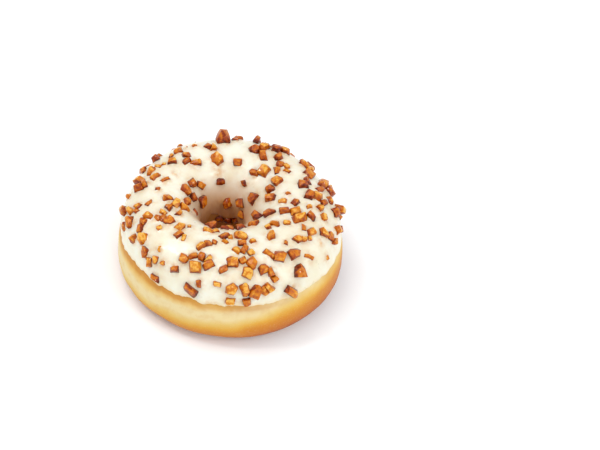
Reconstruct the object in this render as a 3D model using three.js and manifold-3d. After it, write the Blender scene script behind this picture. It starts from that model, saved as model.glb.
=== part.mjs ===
// A filled ring doughnut: fried dough ring, gel filling, white glaze and caramel brittle crumbs.
// Millimetres, +Z up. It rests on z = 0, and the middle of its outline is the origin.
import * as THREE from 'three';
import { mergeVertices } from 'three/addons/utils/BufferGeometryUtils.js';
import { ConvexGeometry } from 'three/addons/geometries/ConvexGeometry.js';
import Module from 'manifold-3d';

const wasm = await Module();
wasm.setup();

// The bare dough. Bearings run round the ring: 0 is +X and 90 is +Y. The angle over the ring runs
// round its section: 0 is the outer side, 90 the top, 180 the wall of the hole and 270 the underside.
const outerRadius = 45.6;
const doughHeight = 34.8;
const bellyHeight = 9.6; // height of the widest line
const holeRadius = 9.4;
const holeShift = [-4.2, 3.2]; // the hole lies a little off the middle of the outline
const squareness = 2.3; // 2 would make each quarter of the section an ellipse
const flattening = 1.14; // how far the underside would sag if nothing held it up
const roundSteps = 72;
const sectionSteps = 28;

// The filling and the channels through which it was injected from below.
const fillingHalfWidth = 9.8;
const fillingHalfHeight = 9;
const fillingMiddle = 16;
const channelRadius = 1.5;
const channelCount = 6;
const clearance = 0.3; // between neighbouring pieces

// The glaze, from its edge above the belly to its edge inside the hole.
const glazeThickness = 1;
const glazeEdge = 24;
const glazeEdgeInHole = 168;

// Crumbs: bearing, angle over the ring, length, width, height, and how far the length is turned from
// the direction round the ring.
const placedCrumbs = [
  // far side
  [98, 74, 5.0, 3.8, 5.0, 5],
  [104, 104, 4.8, 3.6, 2.8, -49],
  [127, 101, 4.2, 2.5, 2.2, -30],
  [80, 106, 3.8, 2.9, 2.4, 16],
  [72, 85, 4.6, 3.8, 3.0, 15],
  [62, 90, 4.0, 2.9, 2.4, -47],
  [53, 81, 3.6, 2.6, 2.4, 74],
  [46, 87, 3.6, 2.5, 2.2, 73],
  [56, 112, 3.7, 2.6, 2.2, 10],
  [49, 104, 4.4, 3.8, 3.0, -78],
  [29, 102, 4.1, 3.6, 2.8, -80],
  [21.5, 113, 3.7, 3.2, 2.6, -87],
  [8, 115, 4.2, 3.3, 2.6, 74],
  // left side
  [157, 70, 4.6, 2.4, 2.2, -6],
  [165, 61, 4.0, 3.1, 2.8, 79],
  [187, 98, 4.0, 2.7, 2.4, -59],
  [195, 106, 4.4, 3.2, 2.6, -30],
  [196, 52, 5.0, 2.9, 2.8, -29],
  [207, 49, 3.6, 2.8, 2.4, -84],
  [212, 57, 4.2, 3.6, 2.8, -58],
  [219, 49, 3.5, 2.8, 2.4, -85],
  [215, 90, 4.0, 3.0, 2.6, -88],
  [226, 92, 3.7, 3.4, 2.6, 5],
  // near side
  [243, 66, 3.5, 2.9, 2.4, -14],
  [251, 62, 4.5, 4.2, 3.0, 16],
  [251, 38, 5.4, 3.2, 2.8, -22],
  [259, 67, 4.5, 3.0, 2.6, 45],
  [274, 73, 4.2, 3.8, 2.6, 2],
  [272.5, 46, 4.6, 3.9, 3.0, 69],
  [279.5, 46, 4.4, 3.3, 2.8, -66],
  [285, 43, 4.6, 3.6, 2.8, 60],
  [282, 62, 3.9, 3.8, 2.8, -24],
  [286, 71, 4.2, 3.5, 2.6, -61],
  [292, 63, 4.0, 3.4, 2.6, 13],
  [304, 34, 5.3, 3.2, 2.6, -51],
  [312, 49, 4.9, 4.4, 3.6, 63],
  // right side
  [306, 70, 4.8, 4.0, 2.8, -38],
  [315, 66, 4.6, 3.8, 2.8, -8],
  [311, 92, 4.0, 3.1, 2.6, 74],
  [324, 75, 3.3, 3.1, 2.4, -14],
  [336, 70, 3.9, 2.9, 2.4, -34],
  [341, 85, 5.0, 3.4, 2.8, -56],
  [342, 58, 4.1, 3.0, 2.6, -65],
  [340, 114, 4.6, 3.0, 2.6, -48],
  // in and round the hole
  [336, 127, 4.4, 3.5, 2.8, 56],
  [27, 134, 4.6, 3.6, 2.8, -76],
  [79, 154, 4.0, 3.5, 2.4, -55],
  [149, 144, 4.4, 3.4, 2.6, 74],
  [147, 119, 3.5, 3.2, 2.6, -8],
  [164, 117, 4.4, 3.7, 2.8, 89],
  [185, 122, 3.6, 2.9, 2.4, -28],
  [202, 116, 3.8, 2.9, 2.4, 84],
  // the side that faces away
  [20, 48, 4.6, 3.6, 2.6, 30],
  [45, 40, 4.2, 3.4, 2.6, -20],
  [8, 72, 4.4, 3.2, 2.4, 60],
  [86, 27, 4.4, 3.4, 2.4, 15],
  [140, 27, 4.6, 3.2, 2.4, -10],
];

const degrees = Math.PI / 180;
const fullTurn = 2 * Math.PI;

// The same numbers on every run, from one starting number.
function seededRandom(seed) {
  let state = seed;
  return () => {
    state = (state * 1664525 + 1013904223) % 4294967296;
    return state / 4294967296;
  };
}

function signedPower(value, power) {
  return Math.sign(value) * Math.abs(value) ** power;
}

// Slow, shallow unevenness of hand-shaped dough, from -1 to 1.
function unevenness(bearing) {
  const slow = 0.5 * Math.cos(2 * bearing + 0.6) + 0.3 * Math.cos(3 * bearing + 2.1);
  return slow + 0.2 * Math.cos(5 * bearing + 1);
}

// The middle of the dough's section at a bearing, and the half width from there to its outer side.
function sectionAt(bearing) {
  const direction = new THREE.Vector2(Math.cos(bearing), Math.sin(bearing));
  const outer = direction.clone().multiplyScalar(outerRadius + 0.35 * unevenness(bearing));
  const inner = direction.clone().multiplyScalar(holeRadius).add(new THREE.Vector2(...holeShift));
  const middle = outer.clone().add(inner).multiplyScalar(0.5);
  return { middle, halfWidth: outer.sub(middle) };
}

function doughPoint(bearing, over) {
  const { middle, halfWidth } = sectionAt(bearing);
  const across = signedPower(Math.cos(over), 2 / squareness);
  const rise = signedPower(Math.sin(over), 2 / squareness);
  const crown = doughHeight + 0.5 * unevenness(bearing + 1.3) - bellyHeight;
  const height = bellyHeight + rise * (rise > 0 ? crown : bellyHeight * flattening);
  return new THREE.Vector3(
    middle.x + halfWidth.x * across,
    middle.y + halfWidth.y * across,
    Math.max(height, 0),
  );
}

// The outward direction of the dough's surface, and the direction along the bearing.
function doughFrame(bearing, over) {
  const step = 0.01;
  const along = doughPoint(bearing + step, over).sub(doughPoint(bearing - step, over)).normalize();
  const around = doughPoint(bearing, over + step).sub(doughPoint(bearing, over - step)).normalize();
  const outward = along.clone().cross(around).normalize();
  return { along, outward };
}

function proudPoint(bearing, over, proud) {
  return doughPoint(bearing, over).addScaledVector(doughFrame(bearing, over).outward, proud);
}

// A ring whose vertices are put in place by a function of the bearing and the angle over its section.
function ringGeometry(aroundSteps, overSteps, place) {
  const torus = new THREE.TorusGeometry(2, 1, overSteps, aroundSteps);
  torus.deleteAttribute('normal');
  torus.deleteAttribute('uv');
  const ring = mergeVertices(torus);
  const position = ring.attributes.position;
  const vertex = new THREE.Vector3();
  for (let index = 0; index < position.count; index += 1) {
    vertex.fromBufferAttribute(position, index);
    const bearing = Math.atan2(vertex.y, vertex.x);
    const over = (Math.atan2(vertex.z, Math.hypot(vertex.x, vertex.y) - 2) + fullTurn) % fullTurn;
    const placed = place(bearing, over);
    position.setXYZ(index, placed.x, placed.y, placed.z);
  }
  return ring;
}

function fillingPoint(bearing, over, growth) {
  const { middle, halfWidth } = sectionAt(bearing);
  const sideways = halfWidth.clone().setLength((fillingHalfWidth + growth) * Math.cos(over));
  return new THREE.Vector3(
    middle.x + sideways.x,
    middle.y + sideways.y,
    fillingMiddle + (fillingHalfHeight + growth) * Math.sin(over),
  );
}

// The glaze's section is a thin crescent: out over the top for half a turn, and back under it.
function glazePoint(bearing, over) {
  const scallops = Math.sin(9 * bearing) + 0.6 * Math.sin(14 * bearing + 2);
  const sag = 3 * Math.cos(bearing - 250 * degrees);
  const start = (glazeEdge + sag + 1.1 * scallops) * degrees;
  const end = (glazeEdgeInHole + 4 * Math.sin(3 * bearing + 1) + 1.5 * scallops) * degrees;
  const across = (1 - Math.cos(over)) / 2;
  const thickness = over < Math.PI ? glazeThickness * Math.sqrt(Math.sin(over)) : 0;
  return proudPoint(bearing, start + (end - start) * across, clearance + thickness);
}

function toSolid(geometry) {
  return new wasm.Manifold(new wasm.Mesh({
    numProp: 3,
    vertProperties: geometry.attributes.position.array,
    triVerts: geometry.index.array,
  }));
}

function toGeometry(solid) {
  const mesh = solid.getMesh();
  const geometry = new THREE.BufferGeometry();
  geometry.setAttribute('position', new THREE.BufferAttribute(mesh.vertProperties, 3));
  geometry.setIndex(new THREE.BufferAttribute(mesh.triVerts, 1));
  return geometry;
}

// A chip broken off a sheet: a flat foot, an uneven top that leans, and a point low on two sides.
function chipGeometry(length, width, height, random) {
  const corners = [];
  const addCorner = (x, y, z) => corners.push(new THREE.Vector3(x * length, y * width, z * height));
  const between = (low, high) => low + (high - low) * random();
  const leanAlong = between(-0.12, 0.12);
  const leanAcross = between(-0.12, 0.12);
  for (const x of [-0.5, 0.5]) {
    for (const y of [-0.5, 0.5]) {
      const foot = between(0.75, 1);
      const top = between(0.35, 0.85);
      addCorner(x * foot, y * foot, 0);
      addCorner(x * top + leanAlong, y * top + leanAcross, between(0.6, 1));
    }
  }
  addCorner(0.55, between(-0.2, 0.2), between(0.25, 0.55));
  addCorner(between(-0.2, 0.2), 0.55, between(0.25, 0.55));
  return new ConvexGeometry(corners);
}

const group = new THREE.Group();

function addPiece(name, geometry, colour, roughness) {
  geometry.computeVertexNormals();
  const material = new THREE.MeshStandardMaterial({ color: colour, roughness, metalness: 0 });
  const piece = new THREE.Mesh(geometry, material);
  piece.name = name;
  group.add(piece);
  return piece;
}

function makeDough() {
  const cavity = toSolid(ringGeometry(48, 12, (bearing, over) => fillingPoint(bearing, over, clearance)));
  let dough = toSolid(ringGeometry(roundSteps, sectionSteps, doughPoint)).subtract(cavity);
  for (let index = 0; index < channelCount; index += 1) {
    const { middle } = sectionAt((index + 0.5) * fullTurn / channelCount);
    const channel = new THREE.CylinderGeometry(channelRadius, channelRadius, fillingMiddle, 8);
    channel.rotateX(Math.PI / 2);
    channel.translate(middle.x, middle.y, fillingMiddle / 2 - 1);
    channel.deleteAttribute('normal');
    channel.deleteAttribute('uv');
    dough = dough.subtract(toSolid(mergeVertices(channel)));
  }
  addPiece('dough', toGeometry(dough), 0xdfa85a, 0.7);
}

function makeFilling() {
  const filling = ringGeometry(48, 12, (bearing, over) => fillingPoint(bearing, over, 0));
  addPiece('filling', filling, 0xeab53c, 0.2);
}

function makeGlaze() {
  addPiece('glaze', ringGeometry(roundSteps, sectionSteps, glazePoint), 0xf6efdc, 0.3);
}

function makeCrumbs() {
  const random = seededRandom(20);
  const standOff = 2 * clearance + glazeThickness;
  placedCrumbs.forEach(([bearing, over, length, width, height, turn], index) => {
    const chip = chipGeometry(length, width, height, random);
    const name = `caramel_crumb_${String(index + 1).padStart(2, '0')}`;
    const crumb = addPiece(name, chip, 0xb5622a, 0.35);
    const { along, outward } = doughFrame(bearing * degrees, over * degrees);
    const seat = new THREE.Matrix4().makeBasis(along, outward.clone().cross(along), outward);
    crumb.quaternion.setFromRotationMatrix(seat);
    crumb.rotateZ(turn * degrees);
    crumb.position.copy(proudPoint(bearing * degrees, over * degrees, standOff));
  });
}

makeDough();
makeFilling();
makeGlaze();
makeCrumbs();

// The outline's middle goes over the origin.
group.updateMatrixWorld(true);
const outlineMiddle = new THREE.Box3().setFromObject(group, true).getCenter(new THREE.Vector3());
group.position.set(-outlineMiddle.x, -outlineMiddle.y, 0);
group.updateMatrixWorld(true);

export default group;
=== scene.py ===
import math
import random

import bmesh
import bpy
from mathutils import Matrix, Vector, noise
from mathutils.kdtree import KDTree


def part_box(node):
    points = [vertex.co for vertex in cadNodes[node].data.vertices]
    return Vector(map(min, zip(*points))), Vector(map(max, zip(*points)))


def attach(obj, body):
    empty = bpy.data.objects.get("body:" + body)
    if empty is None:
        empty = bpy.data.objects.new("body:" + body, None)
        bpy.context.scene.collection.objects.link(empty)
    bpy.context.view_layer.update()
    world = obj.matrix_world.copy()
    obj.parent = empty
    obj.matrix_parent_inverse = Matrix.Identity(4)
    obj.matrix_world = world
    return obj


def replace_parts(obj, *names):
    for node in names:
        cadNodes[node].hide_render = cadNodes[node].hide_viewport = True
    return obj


noise.seed_set(11)  # or noise_vector would give other values on each run

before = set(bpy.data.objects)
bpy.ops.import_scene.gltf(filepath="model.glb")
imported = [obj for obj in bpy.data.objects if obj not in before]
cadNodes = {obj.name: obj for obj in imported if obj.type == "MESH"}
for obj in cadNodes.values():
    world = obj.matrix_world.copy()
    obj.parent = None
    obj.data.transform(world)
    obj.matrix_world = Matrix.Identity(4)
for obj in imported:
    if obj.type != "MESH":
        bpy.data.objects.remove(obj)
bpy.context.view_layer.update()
crumbNodes = sorted(name for name in cadNodes if name.startswith("caramel_crumb"))
print("frame loaded:", len(cadNodes), "nodes")

mm = 0.001
degree = math.pi / 180
fullTurn = 2 * math.pi
up = Vector((0, 0, 1))

# The ring. Bearings run round it, 0 at +X and 90 degrees at +Y. The angle over it runs round its
# section: 0 is the outer side, 90 degrees the top and 180 the wall of the hole.
ring = {
    "outerRadius": 45.6 * mm,
    "height": 34.8 * mm,
    "belly": 9.6 * mm,
    "holeRadius": 9.4 * mm,
    "holeShift": Vector((-4.2, 3.2)) * mm,
    "squareness": 2.3,
    "flattening": 1.14,
    "tubeMiddle": 17 * mm,  # height of the middle of its section
    "sideWave": 0.35 * mm,
    "topWave": 0.5 * mm,
}


def unevenness(bearing):
    slow = 0.5 * math.cos(2 * bearing + 0.6) + 0.3 * math.cos(3 * bearing + 2.1)
    return slow + 0.2 * math.cos(5 * bearing + 1)


def signedPower(value, power):
    return math.copysign(abs(value) ** power, value)


def smoothStep(low, high, value):
    share = min(1, max(0, (value - low) / (high - low)))
    return share * share * (3 - 2 * share)


def sectionAt(bearing):
    direction = Vector((math.cos(bearing), math.sin(bearing)))
    outer = direction * (ring["outerRadius"] + ring["sideWave"] * unevenness(bearing))
    inner = direction * ring["holeRadius"] + ring["holeShift"]
    middle = (outer + inner) / 2
    return middle, outer - middle


def outlineShift():  # the origin is the middle of the ring and its crumbs, a bit off the bare ring's own
    sides = [sum(sectionAt(index * degree), Vector((0, 0))) for index in range(360)]
    low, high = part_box("dough")
    shiftX = (low.x + high.x - min(side.x for side in sides) - max(side.x for side in sides)) / 2
    shiftY = (low.y + high.y - min(side.y for side in sides) - max(side.y for side in sides)) / 2
    return Vector((shiftX, shiftY, 0))


ringPlace = outlineShift()


def doughPoint(bearing, over):
    middle, halfWidth = sectionAt(bearing)
    power = 2 / ring["squareness"]
    across = signedPower(math.cos(over), power)
    rise = signedPower(math.sin(over), power)
    crown = ring["height"] + ring["topWave"] * unevenness(bearing + 1.3) - ring["belly"]
    height = ring["belly"] + rise * (crown if rise > 0 else ring["belly"] * ring["flattening"])
    flat = middle + halfWidth * across
    return Vector((flat.x, flat.y, max(height, 0))) + ringPlace


def doughFrame(bearing, over):
    step = 0.01
    along = (doughPoint(bearing + step, over) - doughPoint(bearing - step, over)).normalized()
    around = (doughPoint(bearing, over + step) - doughPoint(bearing, over - step)).normalized()
    return along, along.cross(around).normalized()


def proudPoint(bearing, over, proud):
    return doughPoint(bearing, over) + doughFrame(bearing, over)[1] * proud


class Wire:  # one socket of a material, with arithmetic on it
    def __init__(self, tree, socket=None):
        self.tree = tree
        self.socket = socket

    def node(self, kind, settings=None, inputs=None, output=0):
        made = self.tree.nodes.new(kind)
        for name, value in (settings or {}).items():
            if name == "stops":
                while len(made.color_ramp.elements) < len(value):
                    made.color_ramp.elements.new(1)
                for element, (position, colour) in zip(made.color_ramp.elements, value):
                    element.position = position
                    element.color = colour
            else:
                setattr(made, name, value)
        for name, value in (inputs or {}).items():
            if isinstance(value, Wire):
                self.tree.links.new(value.socket, made.inputs[name])
            else:
                made.inputs[name].default_value = value
        return Wire(self.tree, made.outputs[output])

    def reckon(self, operation, first, second=0.0, clamped=False):
        settings = {"operation": operation, "use_clamp": clamped}
        return self.node("ShaderNodeMath", settings, {0: first, 1: second})

    def __add__(self, other):
        return self.reckon("ADD", self, other)

    __radd__ = __add__

    def __sub__(self, other):
        return self.reckon("SUBTRACT", self, other)

    def __rsub__(self, other):
        return self.reckon("SUBTRACT", other, self)

    def __mul__(self, other):
        return self.reckon("MULTIPLY", self, other)

    __rmul__ = __mul__

    def __truediv__(self, other):
        return self.reckon("DIVIDE", self, other)

    def __rtruediv__(self, other):
        return self.reckon("DIVIDE", other, self)

    def __pow__(self, other):
        return self.reckon("POWER", self, other)

    def __rpow__(self, other):
        return self.reckon("POWER", other, self)

    def clamped(self):
        return self.reckon("ADD", self, 0.0, True)

    def between(self, low, high):  # 0 below low, 1 above high, smooth on the way
        settings = {"interpolation_type": "SMOOTHSTEP"}
        return self.node("ShaderNodeMapRange", settings, {0: self, 1: low, 2: high, 3: 0.0, 4: 1.0})

    def mixing(self, first, second):  # this wire is the factor, from the first colour to the second
        return self.node("ShaderNodeMix", {"data_type": "RGBA"}, {0: self, 6: first, 7: second}, 2)


def tint(red, green, blue):  # a screen colour, 0 to 255, made linear and dimmed for the bright studio
    def linear(value):
        share = value / 255
        return share / 12.92 if share <= 0.04045 else ((share + 0.055) / 1.055) ** 2.4
    return (0.87 * linear(red), 0.87 * linear(green), 0.87 * linear(blue), 1.0)


def newMaterial(name, fixed):  # fixed holds the shader values that are the same all over
    material = bpy.data.materials.new(name)
    material.use_nodes = True
    tree = material.node_tree
    shader = tree.nodes["Principled BSDF"]
    for socket, value in fixed.items():
        shader.inputs[socket].default_value = value
    return material, Wire(tree), shader


def connect(shader, wires):
    for socket, wire in wires.items():
        wire.tree.links.new(wire.socket, shader.inputs[socket])


def noiseWire(start, place, size, detail=3.0, roughness=0.5):  # size is the width of one blotch
    inputs = {"Vector": place, "Scale": 1 / size, "Detail": detail, "Roughness": roughness}
    return start.node("ShaderNodeTexNoise", None, inputs)


def placeWire(start):
    return start.node("ShaderNodeTexCoord", None, None, "Object")


def paintedWire(start, name):  # a value that the piece's own mesh carries
    return start.node("ShaderNodeAttribute", {"attribute_name": name}, None, "Fac")


def bumpWire(start, strength, distance, relief):
    inputs = {"Strength": strength, "Distance": distance, "Height": relief}
    return start.node("ShaderNodeBump", None, inputs)


def overlaid(colour, mask, layer):
    return (mask * layer["share"]).mixing(colour, layer["colour"])


def makeDoughMaterial():
    look = {
        "rampTop": 24 * mm,  # the baked colours run from the base up to here
        "wander": 2 * mm,  # how far they stray from their height
        "wanderWidth": 10 * mm,
        "lean": 0.1,  # how fast they sink towards -X and rise towards +X
        "darkSide": 2.6 * mm,  # how much further they rise at +X
        "darkReach": 26 * mm,
        "underside": {"colour": tint(186, 104, 30), "share": 0.85, "reach": 3 * mm},
        "holeWall": {"colour": tint(196, 116, 40), "share": 0.85, "from": 13 * mm, "to": 21 * mm},
        # dough soaked with oil under the glaze's edge, and the painted shadow of the glaze's lip
        "soaked": {"colour": tint(204, 134, 46), "share": 0.85},
        "mottle": {"colour": tint(214, 158, 78), "share": 0.22, "width": 3 * mm},
        "grain": {"colour": tint(252, 236, 200), "share": 0.14, "width": 0.6 * mm},
        "puckers": 1.6 * mm,
    }
    bakedColours = [
        (0.00, tint(150, 68, 12)),
        (0.12, tint(190, 99, 10)),
        (0.36, tint(212, 136, 22)),
        (0.46, tint(225, 168, 54)),
        (0.56, tint(231, 194, 105)),
        (0.68, tint(236, 214, 158)),
        (0.81, tint(237, 217, 164)),
        (0.90, tint(236, 202, 124)),
        (1.00, tint(226, 172, 64)),
    ]
    fixed = {
        "Subsurface Weight": 0.1,
        "Subsurface Radius": (1.0, 0.45, 0.2),
        "Subsurface Scale": 2 * mm,
        "Specular IOR Level": 0.28,
        "Coat Roughness": 0.35,
        "Coat Weight": 0.05,
    }
    material, start, shader = newMaterial("friedDough", fixed)
    place = placeWire(start)
    side, depth, height = (start.node("ShaderNodeSeparateXYZ", None, {0: place}, axis) for axis in "XYZ")
    wander = (noiseWire(start, place, look["wanderWidth"]) - 0.5) * (2 * look["wander"])
    lean = side * look["lean"] + side.between(0, look["darkReach"]) * look["darkSide"]
    level = ((height + wander - lean) / look["rampTop"]).clamped()
    crust = start.node("ShaderNodeValToRGB", {"stops": bakedColours}, {0: level})
    crust = overlaid(crust, 1 - height.between(0, look["underside"]["reach"]), look["underside"])
    blotches = noiseWire(start, place, look["mottle"]["width"])
    crust = overlaid(crust, blotches.between(0.45, 0.75), look["mottle"])
    grain = noiseWire(start, place, look["grain"]["width"], 3.0, 0.6)
    crust = overlaid(crust, grain.between(0.5, 0.8), look["grain"])
    offX = side - (ring["holeShift"].x + ringPlace.x)
    offY = depth - (ring["holeShift"].y + ringPlace.y)
    fromAxis = (offX * offX + offY * offY) ** 0.5
    inHole = 1 - fromAxis.between(look["holeWall"]["from"], look["holeWall"]["to"])
    crust = overlaid(crust, inHole, look["holeWall"])
    # painted shadow and oil under the glaze's edge
    crust = overlaid(crust, paintedWire(start, "soaked"), look["soaked"])
    relief = noiseWire(start, place, look["puckers"], 3.0, 0.55) * 0.7 + grain * 0.3
    bump = bumpWire(start, 0.18, 0.2 * mm, relief)
    connect(shader, {"Base Color": crust, "Roughness": blotches * 0.25 + 0.42, "Normal": bump})
    return material


def makeGlazeMaterial():
    look = {
        "ivory": tint(244, 243, 226),
        "cream": tint(239, 231, 204),
        "cloudWidth": 11 * mm,
        "stain": tint(218, 168, 110),  # caramel that has run from the crumbs, and painted shade round them
        "blotchWidth": 2.4 * mm,
        "thinEdge": {"colour": tint(236, 206, 146), "share": 0.6},  # the dough shows through
        # the glaze down the hole: painted shade, with the dough showing through
        "inHole": tint(202, 130, 56),
        "rippleWidth": 3.5 * mm,
        "poreWidth": 0.35 * mm,
        "glossWidth": 6 * mm,
    }
    fixed = {
        "Subsurface Weight": 0.35,
        "Subsurface Radius": (1.0, 0.75, 0.45),
        "Subsurface Scale": 1.6 * mm,
        "Specular IOR Level": 0.5,
        "Coat Weight": 0.25,
        "Coat Roughness": 0.12,
    }
    material, start, shader = newMaterial("whiteGlaze", fixed)
    place = placeWire(start)
    cloud = noiseWire(start, place, look["cloudWidth"], 3.0, 0.55).between(0.35, 0.7)
    icing = cloud.mixing(look["ivory"], look["cream"])
    blotch = noiseWire(start, place, look["blotchWidth"], 3.0, 0.6).between(0.32, 0.72)
    # caramel stain with painted shade round the crumbs, and the smeared caramel
    stainedAndShaded = (paintedWire(start, "stain") * (blotch * 0.9 + 0.14)).clamped()
    icing = stainedAndShaded.mixing(icing, look["stain"])
    icing = overlaid(icing, paintedWire(start, "thin"), look["thinEdge"])
    # painted shade down the hole, partly the dough showing through
    icing = (paintedWire(start, "deep") ** 0.8).clamped().mixing(icing, look["inHole"])
    ripple = noiseWire(start, place, look["rippleWidth"], 2.0)
    pores = noiseWire(start, place, look["poreWidth"], 2.0)
    bump = bumpWire(start, 0.2, 0.2 * mm, ripple * 0.8 + pores * 0.2)
    roughness = noiseWire(start, place, look["glossWidth"]) * 0.22 + 0.2
    connect(shader, {"Base Color": icing, "Roughness": roughness, "Normal": bump})
    return material


def makeCaramelMaterial():
    look = {
        "toneShare": 0.72,  # how much a facet's own tone counts
        "cloudShare": 0.4,
        "footShare": 0.38,  # and how much painted shade darkens a crumb's foot, where it sits in the glaze
        "cloudWidth": 1.5 * mm,
        "bubbleWidth": 0.3 * mm,
    }
    burntColours = [
        (0.00, tint(96, 26, 0)),
        (0.28, tint(158, 60, 4)),
        (0.58, tint(200, 108, 8)),
        (0.82, tint(218, 136, 24)),
        (1.00, tint(238, 182, 78)),
    ]
    fixed = {
        "Subsurface Weight": 0.3,
        "Subsurface Radius": (1.0, 0.35, 0.08),
        "Subsurface Scale": 0.7 * mm,
        "Specular IOR Level": 0.12,
        "Coat Weight": 0.45,
        "Coat Roughness": 0.05,
    }
    material, start, shader = newMaterial("caramelBrittle", fixed)
    place = placeWire(start)
    clouds = noiseWire(start, place, look["cloudWidth"])
    # tone carries each facet's own tone with its painted light and shade
    level = paintedWire(start, "tone") * look["toneShare"] + clouds.between(0.32, 0.68) * look["cloudShare"]
    # the crumb's foot is darkened by painted shade
    level = (level - paintedWire(start, "foot") * look["footShare"] + 0.02).clamped()
    burnt = start.node("ShaderNodeValToRGB", {"stops": burntColours}, {0: level})
    bubbles = noiseWire(start, place, look["bubbleWidth"], 2.0)
    bump = bumpWire(start, 0.5, 0.12 * mm, bubbles * 0.4 + clouds * 0.6)
    connect(shader, {"Base Color": burnt, "Roughness": clouds * 0.3 + 0.2, "Normal": bump})
    return material


def makeGelMaterial():
    look = {"pale": tint(238, 184, 60), "deep": tint(226, 160, 34), "cloudWidth": 6 * mm}
    fixed = {
        "Subsurface Weight": 0.5,
        "Subsurface Radius": (1.0, 0.6, 0.15),
        "Subsurface Scale": 4 * mm,
        "Coat Weight": 0.3,
        "Coat Roughness": 0.06,
    }
    material, start, shader = newMaterial("amberGel", fixed)
    cloud = noiseWire(start, placeWire(start), look["cloudWidth"])
    amber = cloud.between(0.3, 0.7).mixing(look["pale"], look["deep"])
    bump = bumpWire(start, 0.2, 0.4 * mm, cloud)
    connect(shader, {"Base Color": amber, "Roughness": cloud * 0.1 + 0.08, "Normal": bump})
    return material


doughMaterial = makeDoughMaterial()
glazeMaterial = makeGlazeMaterial()
caramelMaterial = makeCaramelMaterial()
gelMaterial = makeGelMaterial()
print("materials made")


def addPiece(name, bm, material):
    mesh = bpy.data.meshes.new(name)
    bm.to_mesh(mesh)
    bm.free()
    for polygon in mesh.polygons:
        polygon.use_smooth = True
    piece = bpy.data.objects.new(name, mesh)
    bpy.context.scene.collection.objects.link(piece)
    mesh.materials.append(material)
    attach(piece, "root")
    return piece


def spunRing(roundSteps, sectionSteps):  # a plain ring, 2 in radius with a section of radius 1
    bm = bmesh.new()
    bmesh.ops.create_circle(bm, radius=1, segments=sectionSteps)
    bmesh.ops.rotate(bm, verts=bm.verts, matrix=Matrix.Rotation(math.pi / 2, 3, "X"))
    bmesh.ops.translate(bm, verts=bm.verts, vec=(2, 0, 0))
    outline = bm.verts[:] + bm.edges[:]
    spin = {"axis": up, "angle": fullTurn, "steps": roundSteps, "use_merge": True}
    bmesh.ops.spin(bm, geom=outline, cent=(0, 0, 0), **spin)
    bmesh.ops.recalc_face_normals(bm, faces=bm.faces)
    return bm


def ringAngles(vertex):
    bearing = math.atan2(vertex.co.y, vertex.co.x)
    over = math.atan2(vertex.co.z, vertex.co.xy.length - 2) % fullTurn
    return bearing, over


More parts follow.
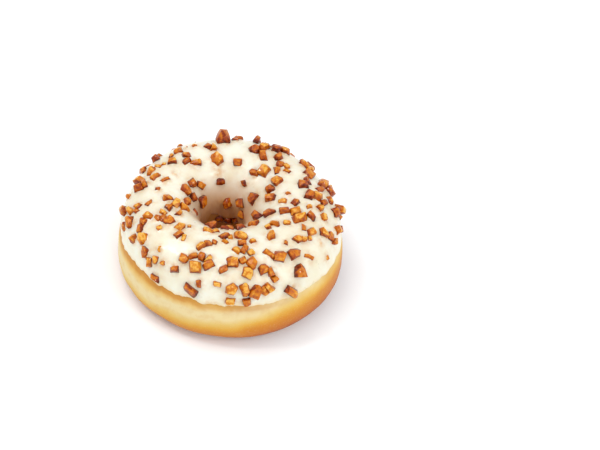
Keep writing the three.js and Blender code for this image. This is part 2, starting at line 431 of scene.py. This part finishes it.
# Crumbs that are too small for nodes of their own: bearing, angle over the ring, length, width, how far
# the length is turned from the direction round the ring, and how far one on another is lifted.
looseCrumbs = {
    "far": [
        (76, 64, 3.3, 3.0, 75, 0.3), (90, 68, 2.6, 1.8, 20, 0), (66, 68, 2.2, 1.6, 34, 0),
        (106, 89, 2.9, 2.5, 65, 0), (110, 84, 3.3, 2.4, -56, 0), (119, 76, 2.3, 1.7, 6, 0),
        (130, 87, 3.2, 2.5, -23, 0), (132, 75, 3.6, 2.2, -25, 0), (134, 94, 3.8, 2.4, -2, 0),
        (139, 75, 2.6, 1.7, 16, 0), (143, 84, 3.3, 2.3, -45, 0), (148, 78, 1.9, 1.7, 15, 0),
        (151, 73, 3.0, 1.5, -82, 0), (153, 96, 1.0, 0.7, -46, 0), (37, 88, 2.6, 1.9, 20, 0),
        (60, 128, 2.6, 1.9, -50, 0), (100, 130, 3.0, 2.4, -2, 0), (125, 74, 1.4, 0.9, 0, 0),
    ],
    "left": [
        (163, 80, 3.7, 2.2, -22, 0), (164, 91, 4.0, 1.9, -37, 0), (170, 72, 3.7, 2.5, 24, 0),
        (173, 65, 3.7, 2.6, -85, 0), (174, 48, 3.1, 2.0, 53, 0), (176, 88, 2.4, 1.7, -86, 0),
        (184, 44, 3.7, 2.7, -4, 0), (188, 66, 2.8, 2.4, 37, 0), (188, 56, 3.4, 2.4, 14, 0),
        (190, 80, 3.0, 1.9, -55, 0), (191.5, 63, 2.6, 2.1, 23, 0), (194, 41, 4.1, 2.4, -8, 0),
        (200, 96, 2.9, 2.7, 44, 0), (202, 74, 3.1, 2.4, 42, 0), (203, 68, 3.1, 2.5, 33, 0),
        (204, 90, 3.2, 2.2, 41, 0), (206, 62, 3.6, 2.2, -30, 0), (206.5, 82, 3.1, 2.6, 41, 0),
        (209, 87, 2.9, 2.0, -66, 0), (210, 104, 3.6, 2.3, -53, 0), (215, 78, 2.3, 2.0, 85, 0),
        (221, 46, 1.7, 1.2, -38, 0), (224, 44, 3.8, 2.1, -60, 0), (226, 62, 2.7, 1.4, -56, 0),
        (227, 50, 2.9, 2.2, -69, 0), (231, 86, 3.4, 2.4, 78, 0), (230, 33, 3.8, 2.5, 5, 0),
        (232, 52, 2.0, 1.9, 39, 0), (233, 101, 1.9, 1.7, -54, 0), (236, 86, 3.0, 1.7, -64, 0),
    ],
    "near": [
        (240, 52, 3.0, 2.1, 25, 0), (248, 72, 3.6, 2.2, 33, 0), (251, 84, 3.8, 2.1, 59, 0),
        (254, 74, 3.0, 2.7, 80, 0), (255, 47, 2.9, 1.9, -78, 0), (256, 89, 2.6, 2.2, 37, 0),
        (258.5, 74, 3.4, 2.0, 69, 0), (261, 92, 2.1, 1.9, -6, 0), (265, 50, 2.9, 2.1, 1, 0),
        (268, 66, 3.7, 2.4, 28, 0), (270, 102, 3.8, 2.8, 39, 0), (270, 94, 2.4, 1.7, -50, 0),
        (272, 34, 3.3, 2.5, -6, 0), (276, 102, 2.9, 2.0, 86, 0), (278, 86, 3.5, 2.3, -47, 0),
        (280, 34, 3.2, 2.5, 8, 0), (280.5, 75, 2.9, 2.4, 20, 0), (282, 103, 3.1, 2.7, 75, 0),
        (284, 92, 3.2, 2.5, -10, 0), (284, 86, 3.4, 2.2, 48, 0), (286, 110, 2.0, 1.4, -14, 0),
        (287.5, 82, 2.5, 2.4, 26, 0), (288, 101, 3.4, 2.8, -46, 0), (290, 43, 3.7, 2.6, -62, 0),
        (293, 46, 4.3, 2.6, -56, 0), (294, 92, 2.8, 2.5, 12, 0), (296, 59, 3.5, 2.7, -87, 0),
        (297, 53, 2.9, 2.5, 15, 0),
    ],
    "right": [
        (300, 76, 5.0, 2.1, -58, 0), (316, 80, 2.2, 1.8, 36, 0), (318, 102, 2.6, 2.3, 66, 0),
        (322, 55, 4.0, 1.5, -57, 0), (325, 100, 4.1, 2.1, -71, 0), (328, 71, 2.5, 2.2, -54, 0),
        (331, 68, 1.9, 1.5, 49, 0), (333, 92, 2.8, 2.4, -69, 0), (333, 40, 2.1, 1.9, 72, 0),
        (335, 56, 1.2, 0.9, 89, 0), (336, 78, 2.7, 1.6, 26, 0), (344, 50, 3.1, 2.2, 17, 0),
        (344, 42, 2.6, 2.3, 13, 0), (345, 99, 3.6, 2.5, -61, 0), (358, 92, 2.9, 2.7, 55, 0),
        (0, 103, 3.3, 2.2, 82, 0), (9, 97, 2.1, 1.4, -76, 0), (352, 63, 3.6, 2.6, 20, 0),
    ],
    "hole": [
        (28, 158, 3.4, 3.0, 42, 0), (51, 149, 3.6, 3.1, -55, 0), (54, 172, 2.7, 2.0, 41, 0),
        (74, 174, 2.9, 2.2, 7, 0), (98, 175, 3.2, 2.4, 12, 0), (137, 128, 3.4, 2.7, -57, 0),
        (165, 130, 3.2, 2.8, 78, 0), (194, 138, 3.0, 1.8, 57, 0), (251, 122, 4.2, 3.4, -20, 0),
        (251, 107, 3.3, 2.6, 13, 0), (259, 109, 3.3, 2.3, 46, 0), (297, 123, 4.6, 2.8, 6, 0),
        (314, 120, 4.3, 2.5, -56, 0), (270, 124, 3.2, 2.4, 10, 0), (280, 126, 3.0, 2.4, -20, 0),
    ],
}

glazeLook = {
    "roundSteps": 440,
    "sectionSteps": 170,
    "topShare": 0.8,  # of the section's steps that lie on the outer surface
    "edge": 24 * degree,
    "edgeSag": 3 * degree,
    "sagSide": 250 * degree,
    "edgeInHole": 172 * degree,
    "arc": 52 * mm,  # from edge to edge over the top
    "thickness": 1.9 * mm,
    "thickFrom": 9 * mm,  # how far in from the edge it is that thick
    "thickFromHole": 7 * mm,
    "wave": 0.3 * mm,
    "lip": 0.85 * mm,
    "lipReach": 0.9 * mm,
    "sunk": 0.12 * mm,  # how deep its underside and its very edge lie in the dough
    "sunkReach": 1.5 * mm,
    "seat": 0.35 * mm,  # how deep a crumb sits in the glaze
    "rise": 0.45 * mm,  # how far the glaze climbs up a crumb
    "riseReach": 0.5 * mm,
    "stainAndShadeReach": 1.5 * mm,
    "crumbSearch": 6 * mm,
    "thinReach": 2.2 * mm,
    "deepFrom": 114 * degree,  # where the glaze starts to darken down the hole: painted shade, and the dough showing through the thinning coat
    "smears": [  # caramel smeared away from the crumbs: bearing, angle over the ring, reach
        (103, 113, 3.4 * mm), (104, 122, 2.6 * mm), (262, 27, 2.5 * mm), (218, 94, 2.4 * mm),
    ],
}


def roundNoise(bearing, waves, seed):  # noise that meets itself after a full turn
    return noise.noise(Vector((math.cos(bearing) * waves, math.sin(bearing) * waves, seed)))


def glazeEdges(bearing):
    scallops = 2.6 * roundNoise(bearing, 2.5, 1) + 2.2 * roundNoise(bearing, 7, 4)
    scallops += 1.9 * roundNoise(bearing, 15, 9) + 1.3 * roundNoise(bearing, 31, 2)
    sag = glazeLook["edgeSag"] * math.cos(bearing - glazeLook["sagSide"])
    start = glazeLook["edge"] + sag + scallops * degree
    tongues = 9 * roundNoise(bearing, 1.8, 3) + 4 * roundNoise(bearing, 5, 6)
    end = glazeLook["edgeInHole"] + tongues * degree
    return start, end


def glazeDepth(point, fromEdge, fromHoleEdge):  # thickness of the coat, before any crumb lifts it
    body = smoothStep(0, glazeLook["thickFrom"], fromEdge)
    body *= smoothStep(0, glazeLook["thickFromHole"], fromHoleEdge)
    waves = noise.noise(point / (15 * mm)) + 0.35 * noise.noise(point / (6 * mm) + Vector((5, 5, 5)))
    lip = glazeLook["lip"]
    depth = lip + (glazeLook["thickness"] - lip + glazeLook["wave"] * waves) * body
    nearest = min(fromEdge, fromHoleEdge)
    lipShare = min(1, nearest / glazeLook["lipReach"])
    return depth * math.sqrt(max(0, 1 - (1 - lipShare) ** 2))


def depthAt(bearing, over):
    start, end = glazeEdges(bearing)
    share = (over - start) / (end - start)
    point = doughPoint(bearing, over)
    return glazeDepth(point, share * glazeLook["arc"], (1 - share) * glazeLook["arc"])


crumbSeats = []  # the middle of each crumb, and about half its breadth

crumbLook = {
    "growth": 1.22,
    "bevel": 0.3 * mm,
    "roughening": 0.07 * mm,
    "nicks": 3,
    "nickDepth": 0.22,  # of the breadth
    "sideSlopes": (0, 0.35),  # how far a nick's face leans out from the ring
    "topSlopes": (0.6, 1.2),
    "pointCuts": [(Vector((0.76, 0, 0.65)), 2.3 * mm), (Vector((-0.88, 0, 0.48)), 0.9 * mm)],
    "shades": (0.3, 0.8),  # 0 is nearly burnt and 1 pale
    "facing": 0.6,  # painted light and shade: how much paler a facet is that faces off the ring, and darker one that faces aside
    "facingMiddle": 0.62,
    "facetSpread": 0.2,
    "holeShade": 0.45,  # painted shade: how much darker the crumbs in the hole are
    "holeReach": (0.3, 0.85),
    "farShade": 0.14,  # painted shade on those at the back, which the light reaches more
    "farReach": (-5 * mm, 25 * mm),
}


def sliceOff(bm, normal, depth):
    reach = max(vertex.co.dot(normal) for vertex in bm.verts)
    cut = bmesh.ops.bisect_plane(
        bm, geom=bm.verts[:] + bm.edges[:] + bm.faces[:],
        plane_co=normal * (reach - depth), plane_no=normal, clear_outer=True,
    )
    rims = [item for item in cut["geom_cut"] if isinstance(item, bmesh.types.BMEdge)]
    bmesh.ops.contextual_create(bm, geom=rims)


def nickChip(bm, outward, count, depth, dice):  # breaks corners off, round the sides and the top
    aside = outward.orthogonal().normalized()
    beyond = outward.cross(aside)
    for _ in range(count):
        turn = dice.uniform(0, fullTurn)
        slopes = [dice.uniform(*crumbLook["sideSlopes"]), dice.uniform(*crumbLook["topSlopes"])]
        slope = dice.choice(slopes)
        level = aside * math.cos(turn) + beyond * math.sin(turn)
        normal = level * math.cos(slope) + outward * math.sin(slope)
        sliceOff(bm, normal, depth)


def finishChip(bm, outward, bevel, segments, dice, shade):
    bmesh.ops.recalc_face_normals(bm, faces=bm.faces)
    bmesh.ops.bevel(
        bm, geom=bm.edges[:], offset=bevel, segments=segments, profile=0.5,
        affect="EDGES", material=-1, clamp_overlap=True,
    )
    toneLayer = bm.loops.layers.float.new("tone")
    # foot: painted shade, strongest at the crumb's base
    footLayer = bm.verts.layers.float.new("foot")
    heights = [vertex.co.dot(outward) for vertex in bm.verts]
    low, high = min(heights), max(heights)
    for vertex, height in zip(bm.verts, heights):
        vertex[footLayer] = 1 - smoothStep(0, 0.75, (height - low) / (high - low))
        vertex.co += noise.noise_vector(vertex.co / (0.9 * mm)) * crumbLook["roughening"]
    bm.normal_update()
    middle = sum((vertex.co for vertex in bm.verts), Vector()) / len(bm.verts)
    inwards = -outward.xy.dot((middle - ringPlace).xy.normalized())
    # painted shade on crumbs facing into the hole and on those at the back
    shade -= crumbLook["holeShade"] * smoothStep(*crumbLook["holeReach"], inwards)
    shade -= crumbLook["farShade"] * smoothStep(*crumbLook["farReach"], middle.y - middle.x * 0.3)
    spread = crumbLook["facetSpread"]
    # each facet's tone: its own random tone, with painted light on facets facing off the ring and painted
    # shade on those facing aside
    for face in bm.faces:
        facing = crumbLook["facing"] * (face.normal.dot(outward) - crumbLook["facingMiddle"])
        facetTone = min(1, max(0, shade + facing + dice.uniform(-spread, spread)))
        for loop in face.loops:
            loop[toneLayer] = facetTone


def makeCadCrumb(name, dice):
    bm = bmesh.new()
    bm.from_mesh(cadNodes[name].data)
    bmesh.ops.remove_doubles(bm, verts=bm.verts, dist=0.002 * mm)
    bmesh.ops.dissolve_limit(bm, angle_limit=6 * degree, verts=bm.verts, edges=bm.edges)
    middle = sum((vertex.co for vertex in bm.verts), Vector()) / len(bm.verts)
    breadth = sum((vertex.co - middle).length for vertex in bm.verts) / len(bm.verts)
    crumbSeats.append((middle, breadth * 0.8))
    for vertex in bm.verts:
        vertex.co = middle + (vertex.co - middle) * crumbLook["growth"]
    tubeMiddle = sectionAt(math.atan2(middle.y - ringPlace.y, middle.x - ringPlace.x))[0]
    outward = (middle - ringPlace - Vector((tubeMiddle.x, tubeMiddle.y, ring["tubeMiddle"]))).normalized()
    if name == crumbNodes[0]:  # the one that stands up at the back comes to a point
        for normal, depth in crumbLook["pointCuts"]:
            sliceOff(bm, normal, depth)
    else:
        nickChip(bm, outward, crumbLook["nicks"], crumbLook["nickDepth"] * breadth, dice)
    finishChip(bm, outward, crumbLook["bevel"], 2, dice, dice.uniform(*crumbLook["shades"]))
    piece = addPiece("caramelChip" + name[-2:], bm, caramelMaterial)
    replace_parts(piece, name)


fineLook = {
    "bevel": 0.24 * mm,
    "thickness": (0.62, 0.95),  # of the width
    "taperedTop": (0.5, 0.95),  # where its corners lie, as shares of the block it is cut from
    "base": (0.85, 1.1),
    "slant": (0.75, 1),  # and their heights
    "tilt": 24 * degree,
    "nicks": 5,
    "nickDepth": 0.17,  # of the width
    "shades": (0.2, 0.9),
}


def chipMesh(length, width, dice):
    length *= crumbLook["growth"]
    width *= crumbLook["growth"]
    bm = bmesh.new()
    bmesh.ops.create_cube(bm, size=1)
    thickness = width * dice.uniform(*fineLook["thickness"])
    for vertex in bm.verts:
        drawnIn = dice.uniform(*fineLook["taperedTop" if vertex.co.z > 0 else "base"])
        vertex.co.x *= length * drawnIn
        vertex.co.y *= width * drawnIn
        vertex.co.z = (vertex.co.z + 0.5) * thickness * dice.uniform(*fineLook["slant"])
    nickChip(bm, up, fineLook["nicks"], fineLook["nickDepth"] * width, dice)
    return bm


def seatMatrix(bearing, over, proud, turn, tilt):
    along, outward = doughFrame(bearing, over)
    basis = Matrix((along, outward.cross(along), outward)).transposed().to_4x4()
    spot = Matrix.Translation(proudPoint(bearing, over, proud))
    return spot @ basis @ Matrix.Rotation(turn, 4, "Z") @ Matrix.Rotation(tilt, 4, "X")


def addLooseChip(whole, bearing, over, length, width, turn, lift, dice):
    bm = chipMesh(length, width, dice)
    proud = depthAt(bearing, over) - glazeLook["seat"] + lift
    tilt = dice.uniform(-1, 1) * fineLook["tilt"]
    matrix = seatMatrix(bearing, over, proud, turn, tilt)
    bmesh.ops.transform(bm, verts=bm.verts, matrix=matrix)
    middle = matrix @ Vector((0, 0, width * 0.4))
    if not lift:  # one that lies on another doesn't touch the glaze
        crumbSeats.append((middle, (length + width) * 0.21))
    outward = doughFrame(bearing, over)[1]
    finishChip(bm, outward, fineLook["bevel"], 1, dice, dice.uniform(*fineLook["shades"]))
    chip = bpy.data.meshes.new("chip")
    bm.to_mesh(chip)
    bm.free()
    whole.from_mesh(chip)
    bpy.data.meshes.remove(chip)


scatter = {  # the side that faces away gets the same mix of crumbs, in places left to chance
    "count": 44,
    "tries": 4000,
    "bearings": (-25, 165),
    "angles": (29, 118),
    "rightEnd": 70,  # the lists above reach less far over the top below this bearing
    "topAtRight": 98,
    "top": 62,
    "gap": 3.1 * mm,
    "gapShares": (0.75, 1.1, 1.4),
    "lengths": (2.2, 4.4),
    "widths": (0.6, 0.9),  # of the length
}


def hiddenSpots(dice):
    taken = [middle for middle, _ in crumbSeats]
    spots = []
    for _ in range(scatter["tries"]):
        bearing = dice.uniform(*scatter["bearings"]) * degree
        over = dice.uniform(*scatter["angles"]) * degree
        top = scatter["topAtRight"] if bearing < scatter["rightEnd"] * degree else scatter["top"]
        if over > top * degree:
            continue
        spot = proudPoint(bearing, over, 2 * mm)
        gap = scatter["gap"] * dice.choice(scatter["gapShares"])
        if all((spot - other).length > gap for other in taken):
            taken.append(spot)
            spots.append((bearing, over))
        if len(spots) == scatter["count"]:
            break
    return spots


def makeCrumbs():
    dice = random.Random(11)
    for name in crumbNodes:
        makeCadCrumb(name, dice)
    for side, crumbs in looseCrumbs.items():
        whole = bmesh.new()
        for bearing, over, length, width, turn, lift in crumbs:
            spot = (bearing * degree, over * degree)
            addLooseChip(whole, *spot, length * mm, width * mm, turn * degree, lift * mm, dice)
        addPiece(side + "FineChips", whole, caramelMaterial)
    whole = bmesh.new()
    for bearing, over in hiddenSpots(dice):
        length = dice.uniform(*scatter["lengths"]) * mm
        width = length * dice.uniform(*scatter["widths"])
        turn = dice.uniform(-90, 90) * degree
        addLooseChip(whole, bearing, over, length, width, turn, 0, dice)
    addPiece("backFineChips", whole, caramelMaterial)


makeCrumbs()
print("crumbs made:", len(crumbSeats))


filling = {
    "halfWidth": 9.8 * mm,
    "halfHeight": 9 * mm,
    "middle": 16 * mm,
    "clearance": 0.3 * mm,
    "channels": 6,  # left in the underside where it was injected
    "channelRadius": 1.5 * mm,
}


def fillingRing(growth):
    bm = spunRing(144, 36)
    for vertex in bm.verts:
        bearing, over = ringAngles(vertex)
        middle, halfWidth = sectionAt(bearing)
        flat = middle + halfWidth.normalized() * (filling["halfWidth"] + growth) * math.cos(over)
        height = filling["middle"] + (filling["halfHeight"] + growth) * math.sin(over)
        vertex.co = Vector((flat.x, flat.y, height)) + ringPlace
    return bm


def channel(index):
    bm = bmesh.new()
    radius = filling["channelRadius"]
    bmesh.ops.create_cone(
        bm, cap_ends=True, segments=24, radius1=radius, radius2=radius, depth=filling["middle"],
    )
    middle = sectionAt((index + 0.5) * fullTurn / filling["channels"])[0]
    place = Vector((middle.x, middle.y, filling["middle"] / 2 - 1 * mm)) + ringPlace
    bmesh.ops.translate(bm, verts=bm.verts, vec=place)
    return bm


def cutAway(piece, cutters):
    for bm in cutters:
        mesh = bpy.data.meshes.new("cutter")
        bm.to_mesh(mesh)
        bm.free()
        cutter = bpy.data.objects.new("cutter", mesh)
        bpy.context.scene.collection.objects.link(cutter)
        modifier = piece.modifiers.new("hollow", "BOOLEAN")
        modifier.operation = "DIFFERENCE"
        modifier.solver = "EXACT"
        modifier.object = cutter
        bpy.context.view_layer.update()
        evaluated = piece.evaluated_get(bpy.context.evaluated_depsgraph_get())
        uncut = piece.data
        piece.data = bpy.data.meshes.new_from_object(evaluated)
        piece.modifiers.clear()
        bpy.data.meshes.remove(uncut)
        bpy.data.objects.remove(cutter)
        bpy.data.meshes.remove(mesh)
    piece.data.set_sharp_from_angle(angle=50 * degree)


dough = {
    "roundSteps": 420,
    "sectionSteps": 150,
    "bareBelow": (20 * degree, 34 * degree),  # the angle over the ring where the bare dough ends
    "swell": 0.3 * mm,
    "lumps": 0.25 * mm,
    "lumpWidth": 9 * mm,
    "soakedAndShadedBand": 4.5 * degree,  # as far below the glaze's edge the dough is fully soaked and darkened by painted shadow
    "soakedAndShadedFade": 2 * degree,
    "soakedAndShadedSide": 215 * degree,
}


def soakedAndShadedShare(bearing, climb):  # how oily and brown the dough is just under the glaze, with the painted shadow of its edge
    below = max(0, glazeEdges(bearing)[0] - dough["soakedAndShadedBand"] - climb)
    share = 0.3 + 0.7 * math.cos(bearing - dough["soakedAndShadedSide"]) + 0.6 * roundNoise(bearing, 4, 12)
    return max(0, min(1, share)) * math.exp(-below / dough["soakedAndShadedFade"])


def makeDough():
    bm = spunRing(dough["roundSteps"], dough["sectionSteps"])
    soaked = bm.verts.layers.float.new("soaked")
    for vertex in bm.verts:
        bearing, over = ringAngles(vertex)
        climb = over if over < math.pi else over - fullTurn
        point = doughPoint(bearing, over)
        bare = 1 - smoothStep(*dough["bareBelow"], climb)
        lumps = dough["swell"] + dough["lumps"] * noise.noise(point / dough["lumpWidth"])
        outward = doughFrame(bearing, over)[1]
        vertex.co = point + outward * lumps * bare * smoothStep(0, 2 * mm, point.z)
        # oil and painted shadow under the glaze's edge
        vertex[soaked] = soakedAndShadedShare(bearing, climb)
    piece = addPiece("doughRing", bm, doughMaterial)
    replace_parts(piece, "dough")
    channels = [channel(index) for index in range(filling["channels"])]
    cutAway(piece, [fillingRing(filling["clearance"])] + channels)


def besideCrumbs(surface, outward, crumbs):  # how much the crumbs near by raise the glaze, stain it and darken it with painted shade
    raised = 0
    stainedAndShaded = 0
    for middle, index, _ in crumbs.find_range(surface, glazeLook["crumbSearch"]):
        offset = middle - surface
        beside = (offset - outward * offset.dot(outward)).length - crumbSeats[index][1]
        raised = max(raised, math.exp(-max(0, beside) / glazeLook["riseReach"]))
        # stain with painted shade, fading away from the crumb
        stainedAndShaded = max(stainedAndShaded, math.exp(-max(0, beside) / glazeLook["stainAndShadeReach"]))
    return raised, stainedAndShaded


def makeGlaze():
    bm = spunRing(glazeLook["roundSteps"], glazeLook["sectionSteps"])
    crumbs = KDTree(len(crumbSeats))
    for index, (middle, _) in enumerate(crumbSeats):
        crumbs.insert(middle, index)
    crumbs.balance()
    stain = bm.verts.layers.float.new("stain")
    thin = bm.verts.layers.float.new("thin")
    deep = bm.verts.layers.float.new("deep")
    smears = []
    for bearing, over, reach in glazeLook["smears"]:
        smears.append((doughPoint(bearing * degree, over * degree), reach))
    topShare = glazeLook["topShare"]
    for vertex in bm.verts:
        bearing, turn = ringAngles(vertex)
        onTop = turn < topShare * fullTurn
        share = turn / fullTurn / topShare if onTop else (1 - turn / fullTurn) / (1 - topShare)
        across = (1 - math.cos(math.pi * share)) / 2
        start, end = glazeEdges(bearing)
        over = start + (end - start) * across
        point = doughPoint(bearing, over)
        outward = doughFrame(bearing, over)[1]
        if not onTop:
            vertex.co = point - outward * glazeLook["sunk"]
            continue
        fromEdge = across * glazeLook["arc"]
        fromHoleEdge = (1 - across) * glazeLook["arc"]
        surface = point + outward * glazeDepth(point, fromEdge, fromHoleEdge)
        raised, stainedAndShaded = besideCrumbs(surface, outward, crumbs)
        for middle, reach in smears:
            stainedAndShaded = max(stainedAndShaded, 0.9 * math.exp(-((middle - point).length / reach) ** 2))
        lipShare = min(1, min(fromEdge, fromHoleEdge) / glazeLook["sunkReach"])
        change = raised * glazeLook["rise"] * lipShare - glazeLook["sunk"] * (1 - lipShare)
        vertex.co = surface + outward * change
        vertex[stain] = stainedAndShaded
        vertex[thin] = 1 - smoothStep(0, glazeLook["thinReach"], fromEdge)
        # deep: painted shade down the hole
        vertex[deep] = smoothStep(glazeLook["deepFrom"], 180 * degree, over)
    piece = addPiece("glazeCoat", bm, glazeMaterial)
    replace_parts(piece, "glaze")


makeDough()
print("dough made")
makeGlaze()
print("glaze made")
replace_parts(addPiece("gelFilling", fillingRing(0), gelMaterial), "filling")
print("filling made")

view = {
    "elevation": 46.5 * degree,
    "distance": 0.6,
    "lens": 88.0,
    "roll": 3.8 * degree,
    "target": Vector((0, 0, ring["tubeMiddle"])) + ringPlace,
    "aside": 28.0 * mm,  # the ring stands left of the middle and a little below it
    "above": 3.7 * mm,
}


def makeCamera():
    back = Vector((0, -math.cos(view["elevation"]), math.sin(view["elevation"])))
    spin = back.to_track_quat("Z", "Y") @ Matrix.Rotation(view["roll"], 3, "Z").to_quaternion()
    place = view["target"] + back * view["distance"]
    aim = view["target"] + spin @ Vector((view["aside"], view["above"], 0))
    turn = (spin @ Vector((0, 0, -1))).rotation_difference(aim - place)
    camera = bpy.data.objects.new("studioCamera", bpy.data.cameras.new("studioCamera"))
    camera.data.lens = view["lens"]
    camera.data.clip_start = 0.01
    camera.location = place
    camera.rotation_mode = "QUATERNION"
    camera.rotation_quaternion = turn @ spin
    bpy.context.scene.collection.objects.link(camera)
    bpy.context.scene.camera = camera


studio = {
    "floor": {"Base Color": (0.93, 0.96, 0.98, 1), "Roughness": 0.9, "Specular IOR Level": 0.1},
    "daylight": 0.87,
    "aim": Vector((0, 0, 20 * mm)),
    "boxes": {  # where each soft light stands in metres, its side, its power and its colour
        "keyBox": ((-0.2, 0.08, 0.68), 0.3, 1.08, (1, 0.99, 0.97)),
        "fillBox": ((0.5, -0.35, 0.4), 0.5, 1.05, (1, 1, 1)),
        "glintBox": ((-0.3, -0.05, 0.5), 0.06, 0.4, (1, 1, 1)),
        "frontGlintBox": ((0.12, -0.5, 0.33), 0.05, 0.22, (1, 1, 1)),
        "sideGlintBox": ((0.28, -0.25, 0.5), 0.04, 0.2, (1, 1, 1)),
    },
}


def makeFloor():
    bm = bmesh.new()
    bmesh.ops.create_grid(bm, x_segments=1, y_segments=1, size=3)
    mesh = bpy.data.meshes.new("floor")
    bm.to_mesh(mesh)
    bm.free()
    floor = bpy.data.objects.new("floor", mesh)
    bpy.context.scene.collection.objects.link(floor)
    mesh.materials.append(newMaterial("paleFloor", studio["floor"])[0])


def makeLights():
    for name, (place, size, power, colour) in studio["boxes"].items():
        light = bpy.data.lights.new(name, "AREA")
        light.size = size
        light.energy = power
        light.color = colour
        box = bpy.data.objects.new(name, light)
        box.location = place
        box.rotation_mode = "QUATERNION"
        box.rotation_quaternion = (studio["aim"] - Vector(place)).to_track_quat("-Z", "Y")
        bpy.context.scene.collection.objects.link(box)


def makeWorld():
    world = bpy.data.worlds.new("studio")
    world.use_nodes = True
    background = world.node_tree.nodes["Background"]
    background.inputs["Color"].default_value = (1, 1, 1, 1)
    background.inputs["Strength"].default_value = studio["daylight"]
    bpy.context.scene.world = world


makeCamera()
makeFloor()
makeLights()
makeWorld()
bpy.context.scene.view_settings.view_transform = "Standard"
print("camera, floor and lights made")
